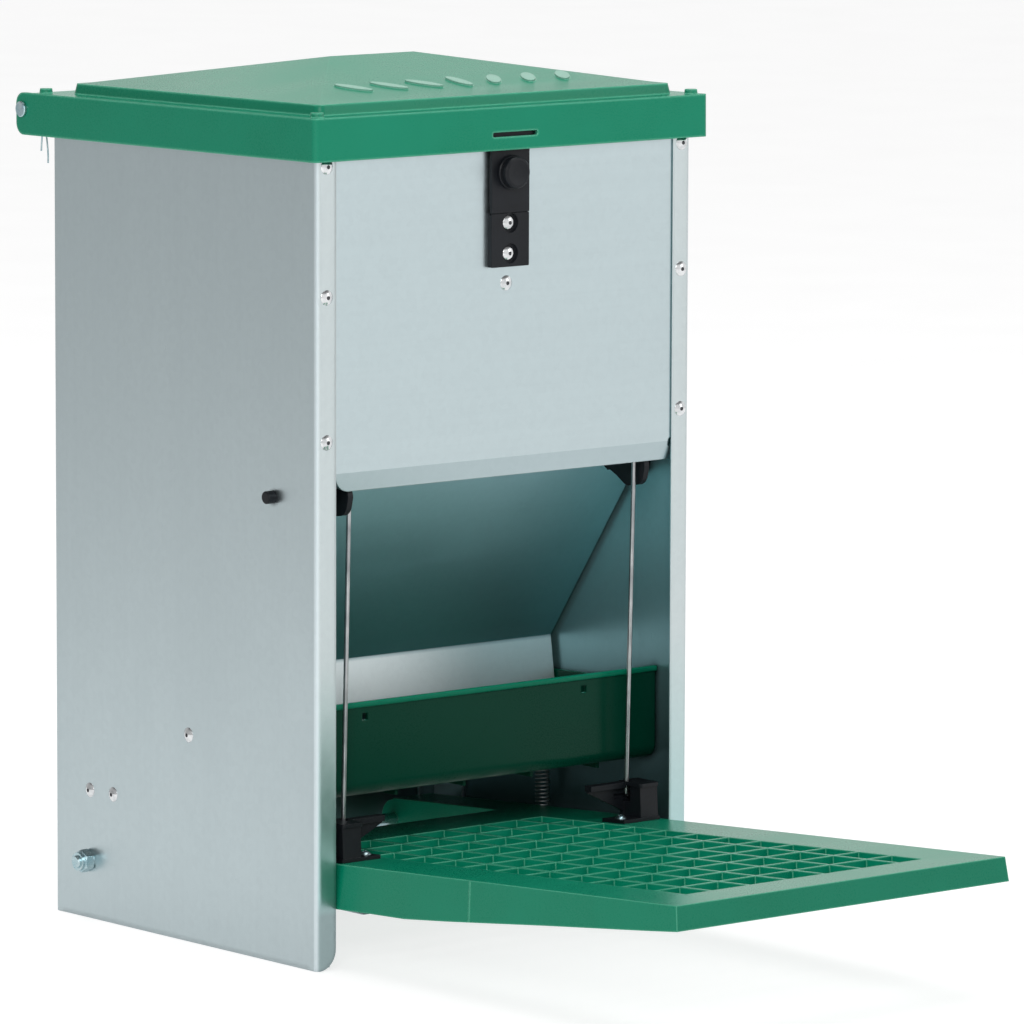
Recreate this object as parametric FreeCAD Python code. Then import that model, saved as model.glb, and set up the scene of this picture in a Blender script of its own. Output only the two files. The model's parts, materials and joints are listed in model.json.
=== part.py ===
import FreeCAD, Part
import math
import os

# Gravity poultry feeder with a treadle-operated feed cover.
# Millimetres. Origin: centre of the cabinet footprint on the floor.
# +X right as seen from the front, -Y front, +Z up.
# The treadle is drawn pressed down and the feed cover swung open.
# Paired pieces are built for one side and mirrored in X; side is -1 (left) or 1 (right).

V = FreeCAD.Vector
os.makedirs("parts", exist_ok=True)

# ---------------------------------------------------------------- driving dimensions
HALF_WIDTH = 150.0         # cabinet, outside
HALF_DEPTH = 135.5
SHEET = 1.0                # galvanised sheet thickness
BODY_TOP = 521.0           # top edge of the sheet-metal cabinet
FLANGE = 14.6              # width of the folded corner flanges
BEND_R = 3.0               # outer bend radius
BASE_FLANGE = 16.0         # width of the inward base flanges
PANEL_HALF = 146.9         # half width of the panels tucked behind the flanges

FRONT_Y = -HALF_DEPTH      # outer face of the front flanges
REAR_Y = HALF_DEPTH        # outer face of the rear flanges
SIDE_IN_X = HALF_WIDTH - SHEET
PANEL_OUT_Y = FRONT_Y + SHEET          # front panel, outer face
PANEL_IN_Y = PANEL_OUT_Y + SHEET       # front panel, inner face
REAR_OUT_Y = REAR_Y - SHEET            # rear panel, outer face
REAR_IN_Y = REAR_OUT_Y - SHEET         # rear panel, inner face

AXLE = (100.3, 37.1)       # treadle axle (y, z)
AXLE_Y, AXLE_Z = AXLE
AXLE_R = 4.0
PIVOT = (-91.4, 290.7)     # feed cover pivot (y, z)
PIVOT_R = 4.0
HINGE = (156.9, 514.1)     # lid hinge (y, z)
HINGE_Y, HINGE_Z = HINGE
HINGE_R = 3.0
RUN = 0.05                 # radial running clearance

ROD_R = 1.5                # link rod wire
ROD_X = 115.2
ROD_LOW = (-117.0, 80.0)   # wire end in the treadle bracket (y, z)
ROD_HIGH = (-123.0, 298.5)  # wire end in the rocker (y, z)

RIVET_R = 2.4
RIVET_HEAD_R = 4.75
RIVET_TAIL = 2.6
FLANGE_RIVET_X = 142.7
STIFFENER_Z = 417.0
FRONT_RIVETS_Z = (497.0, STIFFENER_Z, 328.0)
REAR_RIVETS_Z = (470.0, 390.0, 310.0, 240.0, 110.0)
LATCH_RIVETS_Z = (454.8, 435.7)
BRACKET_RIVETS = ((98.4, 82.7), (73.9, 83.1))    # side panel to axle bracket (y, z)
TROUGH_RIVET = (-5.2, 131.4)                     # side panel to trough (y, z)
BRACKET_T = 2.5                                  # axle bracket thickness

SPRING_X, SPRING_Y = 139.0, TROUGH_RIVET[0]
SPRING_LOW_Z, SPRING_HIGH_Z = 40.0, 93.0         # hook points in the treadle and trough lugs
SPRING_EYE_R = 1.6

SIDES = (-1, 1)
X_AXIS, Y_AXIS, Z_AXIS = (1, 0, 0), (0, 1, 0), (0, 0, 1)


# ---------------------------------------------------------------- helpers
def box(x0, x1, y0, y1, z0, z1):
    return Part.makeBox(x1 - x0, y1 - y0, z1 - z0, V(x0, y0, z0))


def side_box(side, x_in, x_out, y0, y1, z0, z1):
    """Box whose X limits are distances from the centre plane."""
    x0, x1 = sorted((side * x_in, side * x_out))
    return box(x0, x1, y0, y1, z0, z1)


def cyl(start, direction, radius, length):
    return Part.makeCylinder(radius, length, V(*start), V(*direction))


def side_cyl(side, x, place, radius, length):
    """Cylinder at place (y, z) running outwards from distance x off the centre plane."""
    return cyl((side * x, *place), (side, 0, 0), radius, length)


def holes_x(places, x, length, radius=RIVET_R):
    return [cyl((x, y, z), X_AXIS, radius, length) for y, z in places]


def holes_y(places, y, length, radius=RIVET_R):
    return [cyl((x, y, z), Y_AXIS, radius, length) for x, z in places]


def extrude_polygon(corners, direction):
    return Part.Face(Part.makePolygon(corners + [corners[0]])).extrude(direction)


def prism_x(points, x0, x1):
    """Extrude a closed (y, z) polygon along X."""
    return extrude_polygon([V(x0, y, z) for y, z in points], V(x1 - x0, 0, 0))


def prism_y(points, y0, y1):
    """Extrude a closed (x, z) polygon along Y."""
    return extrude_polygon([V(x, y0, z) for x, z in points], V(0, y1 - y0, 0))


def rect(u0, v0, u1, v1):
    return [(u0, v0), (u1, v0), (u1, v1), (u0, v1)]


def round_wire(points, radii):
    """Closed outline in the XY plane with rounded corners."""
    edges = []
    first = last = None
    for i, radius in enumerate(radii):
        corner = V(*points[i], 0)
        to_prev = V(*points[i - 1], 0) - corner
        to_next = V(*points[(i + 1) % len(points)], 0) - corner
        to_prev.normalize()
        to_next.normalize()
        start = end = corner
        arc = None
        if radius > 1e-6:
            half_angle = to_prev.getAngle(to_next) / 2
            setback = radius / math.tan(half_angle)
            start = corner + to_prev * setback
            end = corner + to_next * setback
            bisector = to_prev + to_next
            bisector.normalize()
            centre = corner + bisector * (radius / math.sin(half_angle))
            arc = Part.Arc(start, centre - bisector * radius, end).toShape()
        if last is not None and (start - last).Length > 1e-6:
            edges.append(Part.makeLine(last, start))
        if first is None:
            first = start
        if arc is not None:
            edges.append(arc)
        last = end
    if (first - last).Length > 1e-6:
        edges.append(Part.makeLine(last, first))
    return Part.Wire(edges)


def round_prism(points, radii, axis, start, end):
    """Rounded outline extruded along an axis.

    Points are (y, z) for axis 'x', (x, z) for 'y' and (x, y) for 'z'.
    """
    solid = Part.Face(round_wire(points, radii)).extrude(V(0, 0, end - start))
    matrix = FreeCAD.Matrix()
    if axis == 'z':
        matrix.move(V(0, 0, start))
    elif axis == 'x':
        # (u, v, w) -> (w, u, v)
        matrix = FreeCAD.Matrix(0, 0, 1, start, 1, 0, 0, 0, 0, 1, 0, 0, 0, 0, 0, 1)
    else:
        # (u, v, w) -> (u, end - w, v) keeps the handedness
        matrix = FreeCAD.Matrix(1, 0, 0, 0, 0, 0, -1, end, 0, 1, 0, 0, 0, 0, 0, 1)
    solid.transformShape(matrix)
    return solid


def mirror_x(shape):
    return shape.mirror(V(0, 0, 0), V(1, 0, 0))


def rotate_x(shape, y, z, degrees):
    turned = shape.copy()
    turned.rotate(V(0, y, z), V(1, 0, 0), degrees)
    return turned


def fuse(items):
    return items[0].fuse(items[1:]).removeSplitter()


def cut(shape, tools):
    for tool in tools:
        shape = shape.cut(tool)
    return shape


def face_outwards(solid):
    """Turn a solid right side out if its volume comes out negative."""
    if solid.Volume < 0:
        solid.reverse()
    return solid


def edges_at_x(shape, x):
    """Edges that lie in the plane at x."""
    return [e for e in shape.Edges
            if abs(e.BoundBox.XMin - x) < 1e-3 and abs(e.BoundBox.XMax - x) < 1e-3]


def dome(seat, direction, radius, height, dimple_r):
    """Low domed head cut from a sphere, with an optional round dimple."""
    sphere_r = (radius * radius + height * height) / (2 * height)
    seat, direction = V(*seat), V(*direction)
    ball = Part.makeSphere(sphere_r, seat - direction * (sphere_r - height))
    head = ball.common(Part.makeCylinder(radius, height, seat, direction))
    if dimple_r > 0:
        dimple_start = seat + direction * (height - 0.55)
        head = head.cut(Part.makeCylinder(dimple_r, height, dimple_start, direction))
    return head


def rivet(seat, direction, grip):
    """Blind rivet: head at seat pointing along direction, shank and tail the other way."""
    head = dome(seat, direction, RIVET_HEAD_R, 1.7, 1.25)
    seat, direction = V(*seat), V(*direction)
    shank = Part.makeCylinder(RIVET_R, grip, seat, direction * -1)
    tail = Part.makeCylinder(3.4, RIVET_TAIL, seat - direction * grip, direction * -1)
    return fuse([head, shank, tail])


def save(name, shape):
    if shape.ShapeType == 'Compound' and len(shape.Solids) == 1:
        shape = shape.Solids[0]
    shape.exportStep("parts/%s.step" % name)


def save_all(name, solids):
    save(name, Part.makeCompound(solids))


# Rivet places (x, z)
FRONT_FLANGE_RIVETS = [(side * FLANGE_RIVET_X, z) for z in FRONT_RIVETS_Z for side in SIDES]
REAR_FLANGE_RIVETS = [(side * FLANGE_RIVET_X, z) for z in REAR_RIVETS_Z for side in SIDES]


# ---------------------------------------------------------------- side panels
def side_panel_right():
    """Channel with rounded folds and front and rear flanges."""
    flange_x = HALF_WIDTH - FLANGE
    bend_in = BEND_R - SHEET
    outside = round_prism(rect(flange_x, FRONT_Y, HALF_WIDTH, REAR_Y),
                          [0, BEND_R, BEND_R, 0], 'z', 0, BODY_TOP)
    cavity = round_prism(rect(flange_x - 5, FRONT_Y + SHEET, SIDE_IN_X, REAR_Y - SHEET),
                         [0, bend_in, bend_in, 0], 'z', 0, BODY_TOP)
    panel = outside.cut(cavity)
    # inward base flange, cut back at both ends clear of the corner folds
    panel = panel.fuse(box(HALF_WIDTH - BASE_FLANGE, SIDE_IN_X + 0.2,
                           FRONT_Y + 8, REAR_Y - 8, 0, SHEET))
    # rounded inner lower corners of the front and rear flanges
    corner_r = 13.0
    for y0, y1 in ((FRONT_Y - 1, FRONT_Y + SHEET + 0.01), (REAR_Y - SHEET - 0.01, REAR_Y + 1)):
        corner = box(flange_x - 1, flange_x + corner_r, y0, y1, -1, corner_r)
        corner = corner.cut(cyl((flange_x + corner_r, y0 - 1, corner_r), Y_AXIS, corner_r, 5))
        panel = panel.cut(corner)
    # the rear fold stops below the lid hinge, where the plate runs straight back as a tab
    panel = panel.cut(box(flange_x - 1, HALF_WIDTH + 1, REAR_Y - BEND_R, REAR_Y + 1,
                          499.0, BODY_TOP + 1))
    panel = panel.fuse(round_prism(rect(REAR_Y - BEND_R - 0.5, 503.0, 165.2, 520.4),
                                   [0, 8.0, 8.0, 0], 'x', SIDE_IN_X, HALF_WIDTH))
    x = SIDE_IN_X - 1
    holes = holes_x([HINGE], x, 4, HINGE_R)
    holes += holes_x([PIVOT], x, 4, PIVOT_R + RUN)
    holes += holes_x([AXLE], x, 4, AXLE_R)
    holes += holes_x(BRACKET_RIVETS + (TROUGH_RIVET,), x, 4)
    holes += holes_y([(FLANGE_RIVET_X, z) for z in FRONT_RIVETS_Z], FRONT_Y - 1, 3)
    holes += holes_y([(FLANGE_RIVET_X, z) for z in REAR_RIVETS_Z], REAR_Y - 2, 3)
    return cut(panel, holes).removeSplitter()


side_panel = side_panel_right()
save("right_side_panel", side_panel)
save("left_side_panel", mirror_x(side_panel))


# ---------------------------------------------------------------- base strap
def base_strap():
    """Flat strap joggled up over both base flanges, with a tab forward to the middle."""
    y0, y1 = 45, 75
    gap = 0.2
    step_x = HALF_WIDTH - BASE_FLANGE - gap
    end_x = SIDE_IN_X - gap
    top = 2 * SHEET
    pieces = [box(-step_x, step_x, y0, y1, 0, SHEET)]
    pieces += [side_box(s, step_x - SHEET, end_x, y0, y1, SHEET, top) for s in (1, -1)]
    pieces += [side_box(s, step_x - SHEET, step_x, y0, y1, 0, top) for s in (1, -1)]
    tab = round_prism(rect(-8, -2.5, 8, 50), [2.0, 2.0, 0, 0], 'z', 0, SHEET)
    return fuse(pieces).fuse(tab).removeSplitter()


save("base_strap", base_strap())


# ---------------------------------------------------------------- front panel and stiffener
LIP_TOP = 308.0        # start of the inward-leaning lower lip
LIP_BOTTOM = 296.0
LIP_LEAN = 2.6


def front_panel():
    y = PANEL_OUT_Y
    lip_y = y + LIP_LEAN
    panel = prism_x([(y, BODY_TOP), (y, LIP_TOP), (lip_y, LIP_BOTTOM),
                     (lip_y + 2.0, LIP_BOTTOM), (lip_y + 2.0, LIP_BOTTOM + 5.0),
                     (lip_y + 1.06, LIP_BOTTOM + 5.0), (PANEL_IN_Y, LIP_TOP),
                     (PANEL_IN_Y, BODY_TOP)], -PANEL_HALF, PANEL_HALF)
    # the lip ends in a rounded corner beside the left flange; on the right it runs on
    # behind the flange, with a small relief cut at the bend
    for side, end_x, radius in ((-1, 134.6, 12.0), (1, PANEL_HALF, 8.0)):
        corner = side_box(side, end_x - radius, end_x + 14, y - 1, y + 8,
                          LIP_BOTTOM - 1, LIP_BOTTOM + radius)
        corner = corner.cut(cyl((side * (end_x - radius), y - 2, LIP_BOTTOM + radius),
                                Y_AXIS, radius, 12))
        panel = panel.cut(corner)
    panel = panel.cut(round_prism(rect(133.5, 304.0, 150.0, 310.2), [2.2, 0, 0, 2.2],
                                  'y', y - 1, y + 8))
    middle = [(0, STIFFENER_Z)] + [(0, z) for z in LATCH_RIVETS_Z]
    return cut(panel, holes_y(FRONT_FLANGE_RIVETS + middle, y - 1, 3)).removeSplitter()


def front_stiffener():
    """Angle strip across the inner face of the front panel."""
    y, z = PANEL_IN_Y, STIFFENER_Z
    angle = fuse([box(-PANEL_HALF, PANEL_HALF, y, y + SHEET, z - 10, z + 10),
                  box(-PANEL_HALF, PANEL_HALF, y, y + 12, z - 10, z - 10 + SHEET)])
    return cut(angle, holes_y([(x, z) for x in (-FLANGE_RIVET_X, 0, FLANGE_RIVET_X)], y - 1, 4))


save("front_panel", front_panel())
save("front_stiffener", front_stiffener())

# ---------------------------------------------------------------- hopper baffle and feed chute
FLAP_ANGLE = 35.15     # open cover and baffle from vertical, degrees
FLAP_COS = math.cos(math.radians(FLAP_ANGLE))
FLAP_SIN = math.sin(math.radians(FLAP_ANGLE))
BAFFLE_OFFSET = 20.0   # baffle to cover pivot
BAFFLE_BEND_Z = 142.0  # lower end of the slope, above the hem
HOPPER_HALF = 148.7    # half width of the baffle and the chute

CHUTE_TOP = 205.0
CHUTE_RIVETS = [(x, CHUTE_TOP + 8) for x in (-100, 0, 100)]    # (x, z)


def hopper_baffle():
    """Sloping sheet, parallel to the open cover, with an upright top flange and a low hem."""
    y = PANEL_IN_Y
    near_y = PIVOT[0] + BAFFLE_OFFSET * FLAP_COS
    near_z = PIVOT[1] + BAFFLE_OFFSET * FLAP_SIN
    top_z = near_z + (near_y - (y + 0.6)) / FLAP_SIN * FLAP_COS
    low_y = near_y + (near_z - BAFFLE_BEND_Z) / FLAP_COS * FLAP_SIN
    baffle = prism_x([(y, top_z + 15), (y, top_z), (low_y, BAFFLE_BEND_Z), (low_y, 136.0),
                      (low_y + SHEET, 136.0), (low_y + SHEET, BAFFLE_BEND_Z + 0.4),
                      (y + SHEET, top_z + 0.6), (y + SHEET, top_z + 15)],
                     -HOPPER_HALF, HOPPER_HALF)
    # upright flange notched clear of the corner folds
    notches = [side_box(s, 144.0, 150, y - 1, y + 3.2, top_z - 8, top_z + 16) for s in (1, -1)]
    return cut(baffle, notches).removeSplitter()


def feed_chute():
    """Sheet sloping at 45 degrees from the rear panel down to the trough's rear wall."""
    y, z = REAR_IN_Y, CHUTE_TOP
    low_y = 43.0
    low_z = z - (y - SHEET - low_y)
    chute = prism_x([(y, z + 14), (y - SHEET, z + 14), (y - SHEET, z), (low_y, low_z),
                     (low_y + 0.2, low_z - 1.3), (y, z - 0.5)], -HOPPER_HALF, HOPPER_HALF)
    tools = holes_y(CHUTE_RIVETS, y - 3, 6)
    tools += [side_box(s, 146.0, 150, y - 3.2, y + 1, z - 6, z + 16) for s in (1, -1)]
    tools += [side_box(s, 146.6, 150, 40, 53, 100, 130) for s in (1, -1)]
    return cut(chute, tools).removeSplitter()


def rear_panel():
    panel = box(-PANEL_HALF, PANEL_HALF, REAR_IN_Y, REAR_OUT_Y, 12.0, BODY_TOP)
    # folded rim along the top edge, inside
    panel = panel.fuse(box(-PANEL_HALF + 4, PANEL_HALF - 4, REAR_OUT_Y - 9.0, REAR_IN_Y + 0.01,
                           BODY_TOP - SHEET, BODY_TOP))
    holes = holes_y(REAR_FLANGE_RIVETS + CHUTE_RIVETS, REAR_OUT_Y - 2, 3)
    return cut(panel, holes).removeSplitter()


save("hopper_baffle", hopper_baffle())
save("feed_chute", feed_chute())
save("rear_panel", rear_panel())

# ---------------------------------------------------------------- feed trough
TROUGH_HALF = 148.8
TROUGH_FRONT_Y = -106.0
TROUGH_REAR_Y = 50.0
TROUGH_Z = 99.3         # underside
TROUGH_WALL = 2.5
TROUGH_SIDE_WALL = 1.8
RIM_Z = 159.2
# side outline (y, z): high at the front, dropping towards the chute
TROUGH_PROFILE = [(TROUGH_FRONT_Y, TROUGH_Z), (TROUGH_REAR_Y, TROUGH_Z), (TROUGH_REAR_Y, 114.0),
                  (18.0, 144.0), (-60.0, 147.0), (TROUGH_FRONT_Y, RIM_Z)]


def feed_trough():
    y0, z0, wall = TROUGH_FRONT_Y, TROUGH_Z, TROUGH_WALL
    inner_x = TROUGH_HALF - TROUGH_SIDE_WALL
    outside = round_prism(TROUGH_PROFILE, [9, 3, 3, 8, 30, 0], 'x', -TROUGH_HALF, TROUGH_HALF)
    inside = round_prism(rect(y0 + wall, z0 + wall, TROUGH_REAR_Y - wall, 175.0),
                         [7, 2, 0, 0], 'x', -inner_x, inner_x)
    trough = outside.cut(inside)
    # rear wall lowered to carry the chute
    trough = trough.cut(box(-inner_x, inner_x, 38, TROUGH_REAR_Y + 1, 111.0, 180))
    rim_bead = round_prism(rect(y0 - 1.8, RIM_Z - 3.4, y0 + wall, RIM_Z),
                           [1.2, 0, 1.2, 1.2], 'x', -TROUGH_HALF, TROUGH_HALF)
    spring_lugs = []
    for side in SIDES:
        x = side * SPRING_X
        lug = round_prism([(-11.0, z0 + 0.5), (-11.0, 89.0), (0.6, 89.0), (0.6, z0 + 0.5)],
                          [0, 4.5, 4.5, 0], 'x', x - 1.4, x + 1.4)
        spring_lugs.append(lug.cut(cyl((x - 4, SPRING_Y, SPRING_HIGH_Z), X_AXIS,
                                       SPRING_EYE_R, 8)))
    trough = trough.fuse([rim_bead] + spring_lugs)
    # ribs under the floor
    for x in (-110, -55, 0, 55, 110):
        trough = trough.fuse(box(x - 1, x + 1, -95, 40, z0 - 4, z0 + 0.5))
    # square openings near the ends of the front wall, slots in the floor, side rivet holes
    tools = [box(s * 88.9 - 2.2, s * 88.9 + 2.2, y0 - 1, y0 + wall + 1, 147.4, 151.8)
             for s in SIDES]
    tools += [box(x - 9, x + 9, -20, -17, z0 - 1, z0 + wall + 1) for x in (-90, -30, 30, 90)]
    tools += [side_cyl(s, 146, TROUGH_RIVET, RIVET_R, 6) for s in SIDES]
    return cut(trough, tools).removeSplitter()


save("feed_trough", feed_trough())

# ---------------------------------------------------------------- blind rivets on the cabinet
TWO_SHEETS = SHEET * 2
front_rivets = [rivet((x, FRONT_Y, z), (0, -1, 0),
                      TWO_SHEETS + (SHEET if z == STIFFENER_Z else 0))
                for x, z in FRONT_FLANGE_RIVETS]
front_rivets.append(rivet((0, PANEL_OUT_Y, STIFFENER_Z), (0, -1, 0), TWO_SHEETS))
save_all("front_rivets", front_rivets)

rear_rivets = [rivet((x, REAR_Y, z), Y_AXIS, TWO_SHEETS) for x, z in REAR_FLANGE_RIVETS]
rear_rivets += [rivet((x, REAR_OUT_Y, z), Y_AXIS, TWO_SHEETS) for x, z in CHUTE_RIVETS]
save_all("rear_rivets", rear_rivets)

# the trough's side wall starts 0.2 mm inside the panel, so its grip bridges that gap too
side_grips = [(place, SHEET + BRACKET_T) for place in BRACKET_RIVETS]
side_grips.append((TROUGH_RIVET, SHEET + 0.2 + TROUGH_SIDE_WALL))
save_all("side_rivets", [rivet((side * HALF_WIDTH, *place), (side, 0, 0), grip)
                         for side in SIDES for place, grip in side_grips])


# ---------------------------------------------------------------- axle and its brackets
def axle_bracket_right():
    """Plate on the inner face of the side panel."""
    outline = [(AXLE_Y - 14, AXLE_Z - 14), (AXLE_Y + 15, AXLE_Z - 14), (AXLE_Y + 15, 93.5),
               (62.5, 93.5), (62.5, 78.0), (AXLE_Y - 14, 62.0)]
    plate = round_prism(outline, [12, 12, 9, 9, 8, 12], 'x', SIDE_IN_X - BRACKET_T, SIDE_IN_X)
    x = SIDE_IN_X - 4
    return cut(plate, holes_x([AXLE], x, 6, AXLE_R) + holes_x(BRACKET_RIVETS, x, 6))


axle_bracket = axle_bracket_right()
save("axle_bracket_right", axle_bracket)
save("axle_bracket_left", mirror_x(axle_bracket))

AXLE_HALF = 160.6
WASHER_T = 0.8
SPACER_X = 134.6       # inner end of the axle spacers


def treadle_axle():
    axle = cyl((-AXLE_HALF, *AXLE), X_AXIS, AXLE_R, 2 * AXLE_HALF)
    end_edges = [e for e in axle.Edges if e.Length < 30]
    return axle.makeChamfer(0.8, end_edges)


def axle_washer(side):
    return side_cyl(side, HALF_WIDTH, AXLE, 6.4, WASHER_T).cut(
        side_cyl(side, HALF_WIDTH - 1, AXLE, AXLE_R, 4))


def axle_nut_right():
    """Hexagon nut with a coned outer end and a round collar."""
    x = HALF_WIDTH + WASHER_T
    across_flats = 13.0
    corner_r = across_flats / 2 / math.cos(math.radians(30))
    turn = [math.radians(60 * k + 30) for k in range(6)]
    hexagon = prism_x([(AXLE_Y + corner_r * math.cos(a), AXLE_Z + corner_r * math.sin(a))
                       for a in turn], x, x + 6.0)
    straight = 4.7
    cone = Part.makeCone(7.45, 6.15, 1.4, V(x + straight, *AXLE), V(1, 0, 0))
    body = hexagon.common(fuse([side_cyl(1, x, AXLE, 7.45, straight), cone]))
    nut = fuse([body, side_cyl(1, x, AXLE, 5.9, 8.0)])
    return nut.cut(side_cyl(1, x - 1, AXLE, AXLE_R, 12))


def axle_spacer(side):
    length = SIDE_IN_X - BRACKET_T - 0.1 - SPACER_X
    return side_cyl(side, SPACER_X, AXLE, 7.0, length).cut(
        side_cyl(side, 130, AXLE, AXLE_R, 30))


axle_nut = axle_nut_right()
save("treadle_axle", treadle_axle())
save_all("axle_washers", [axle_washer(side) for side in SIDES])
save_all("axle_nuts", [mirror_x(axle_nut), axle_nut])
save_all("axle_spacers", [axle_spacer(side) for side in SIDES])

# ---------------------------------------------------------------- treadle
# The treadle is built level, then turned about the axle into its pressed position.
TREADLE_TILT = 3.582              # slope of the treadle top, degrees
TREADLE_HALF = 131.8              # half width at the top face
TREADLE_WALL = 3.0
TREADLE_FRONT = (-451.5, 85.1)    # front edge of the top face (y, z)
DRAFT_TAN = math.tan(math.radians(5.0))
ARM_END_R = 12.56                 # rounded arm ends about the axle
ARM_IN_X = 100.0                  # inner face of the side arms
GRID_HALF = 95.0
RIB_PITCH_X, RIB_PITCH_Y = 30.0, 30.2
RIB_DEPTH, RIB_T = 9.0, 2.0
SCREW_R = 2.0
SCREW_X, SCREW_Y = 104.0, -125.0
# lower edge of the skirt in place, front to rear (y, z)
SKIRT_EDGE = [(-451.6, 69.9), (-426, 66.7), (-380, 61.5), (-334, 56.3), (-264, 48.0),
              (-240, 45.2), (-201, 41.0), (-162, 39.1), (-133.7, 37.4)]


def to_level(y, z):
    """Point in place to the level treadle, turned about the axle."""
    angle = math.radians(TREADLE_TILT)
    dy, dz = y - AXLE_Y, z - AXLE_Z
    return (AXLE_Y + dy * math.cos(angle) - dz * math.sin(angle),
            AXLE_Z + dy * math.sin(angle) + dz * math.cos(angle))


def treadle_top(y):
    """Height of the pressed treadle's top face."""
    return 65.2 + 0.0626 * (-133.7 - y)


def level_top_y(y):
    return to_level(y, treadle_top(y))[0]


TOP_Z = to_level(-200, treadle_top(-200))[1]
PLATFORM_REAR_Y = level_top_y(-7.0)
GRID_Y0, GRID_Y1 = level_top_y(-417.5), level_top_y(-57.6)


def treadle_body(inset, drop):
    """Drafted block: inset from the outer skin, its lower edge dropped."""
    top = TOP_Z - inset
    front_y = to_level(*TREADLE_FRONT)[0] + inset
    skirt = [to_level(y, z) for y, z in SKIRT_EDGE]
    arm_z = AXLE_Z - 12.0 - drop
    profile = [(front_y, top), (front_y - DRAFT_TAN * (top - skirt[0][1]), skirt[0][1] - drop)]
    profile += [(y, z - drop) for y, z in skirt[1:]]
    profile += [(AXLE_Y - 40, arm_z), (AXLE_Y, arm_z), (AXLE_Y + ARM_END_R, arm_z),
                (AXLE_Y + ARM_END_R, top)]
    # side skirts flare downwards
    half, depth = TREADLE_HALF - inset, 60
    low = half + DRAFT_TAN * depth
    flared = prism_y([(-half, TOP_Z), (half, TOP_Z), (low, TOP_Z - depth),
                      (-low, TOP_Z - depth)], -600, 200)
    return prism_x(profile, -170, 170).common(flared)


def treadle_shell():
    shell = treadle_body(0, 0).cut(treadle_body(TREADLE_WALL, 30))
    # round the rear ends of the arms about the axle
    shell = shell.cut(box(-170, 170, AXLE_Y, AXLE_Y + 40, AXLE_Z - 40, AXLE_Z + 40).cut(
        cyl((-170, *AXLE), X_AXIS, ARM_END_R, 340)))
    # behind the platform only two side arms carry on to the axle
    shell = shell.cut(box(-ARM_IN_X, ARM_IN_X, PLATFORM_REAR_Y, AXLE_Y + 40,
                          TOP_Z - 80, TOP_Z + 5))
    return shell.cut(box(-GRID_HALF, GRID_HALF, GRID_Y0, GRID_Y1,
                         TOP_Z - TREADLE_WALL - 1, TOP_Z + 1))


def treadle_grid():
    """Frame walls round the opening and the ribs across it."""
    low = TOP_Z - RIB_DEPTH
    frame_top = TOP_Z - 0.5
    x, x_out = GRID_HALF, GRID_HALF + RIB_T
    y0, y1 = GRID_Y0, GRID_Y1
    ribs = [side_box(s, x, x_out, y0 - RIB_T, y1 + RIB_T, low, frame_top) for s in SIDES]
    ribs.append(box(-x_out, x_out, y0 - RIB_T, y0, low, frame_top))
    ribs.append(box(-x_out, x_out, y1, y1 + RIB_T, low, frame_top))
    for i in range(6):
        rib_x = (i - 2.5) * RIB_PITCH_X
        ribs.append(box(rib_x - RIB_T / 2, rib_x + RIB_T / 2, y0 - 0.5, y1 + 0.5, low, TOP_Z))
    k = 1
    while y1 - k * RIB_PITCH_Y > y0 + 5:
        y = y1 - k * RIB_PITCH_Y
        ribs.append(box(-x - 0.5, x + 0.5, y - RIB_T / 2, y + RIB_T / 2, low, TOP_Z))
        k += 1
    return ribs


def treadle_spring_lug(side):
    foot = round_prism(rect(-14.0, 28.5, 3.5, 35.8), [2, 2, 2, 2], 'x', 129.0, 138.0)
    eye = round_prism(rect(-10.5, 28.5, 0.0, 44.2), [3, 3, 4, 4], 'x', 137.6, 140.4)
    eye = eye.cut(cyl((130, SPRING_Y, SPRING_LOW_Z), X_AXIS, SPRING_EYE_R, 14))
    lug = rotate_x(foot.fuse(eye), AXLE_Y, AXLE_Z, TREADLE_TILT)
    return mirror_x(lug) if side < 0 else lug


def treadle_arm(side):
    """Inner arm wall, disc and tube about the axle, spring lug."""
    wall_t = 3.0
    x0, x1 = sorted((side * ARM_IN_X, side * (ARM_IN_X + wall_t)))
    wall = prism_x([(PLATFORM_REAR_Y - 3, TOP_Z - 1), (PLATFORM_REAR_Y - 3, TOP_Z - 22),
                    (AXLE_Y - 38, AXLE_Z - 12), (AXLE_Y, AXLE_Z - 12.0),
                    (AXLE_Y, TOP_Z - 1)], x0, x1)
    return [wall, side_cyl(side, ARM_IN_X, AXLE, 12.5, wall_t),
            side_cyl(side, ARM_IN_X, AXLE, 8.0, 32.2), treadle_spring_lug(side)]


def skirt_ridge(side):
    """Narrow vertical ridge on the outside of a side skirt."""
    y = to_level(-262.0, 60)[0]
    x_in, x_out = TREADLE_HALF - 1, TREADLE_HALF + 0.45
    flare = DRAFT_TAN * 24.5
    return prism_y([(side * x_in, TOP_Z - 0.6), (side * x_out, TOP_Z - 0.6),
                    (side * (x_out + flare), TOP_Z - 25.1),
                    (side * (x_in + flare), TOP_Z - 25.1)], y - 0.6, y + 0.6)


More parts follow.
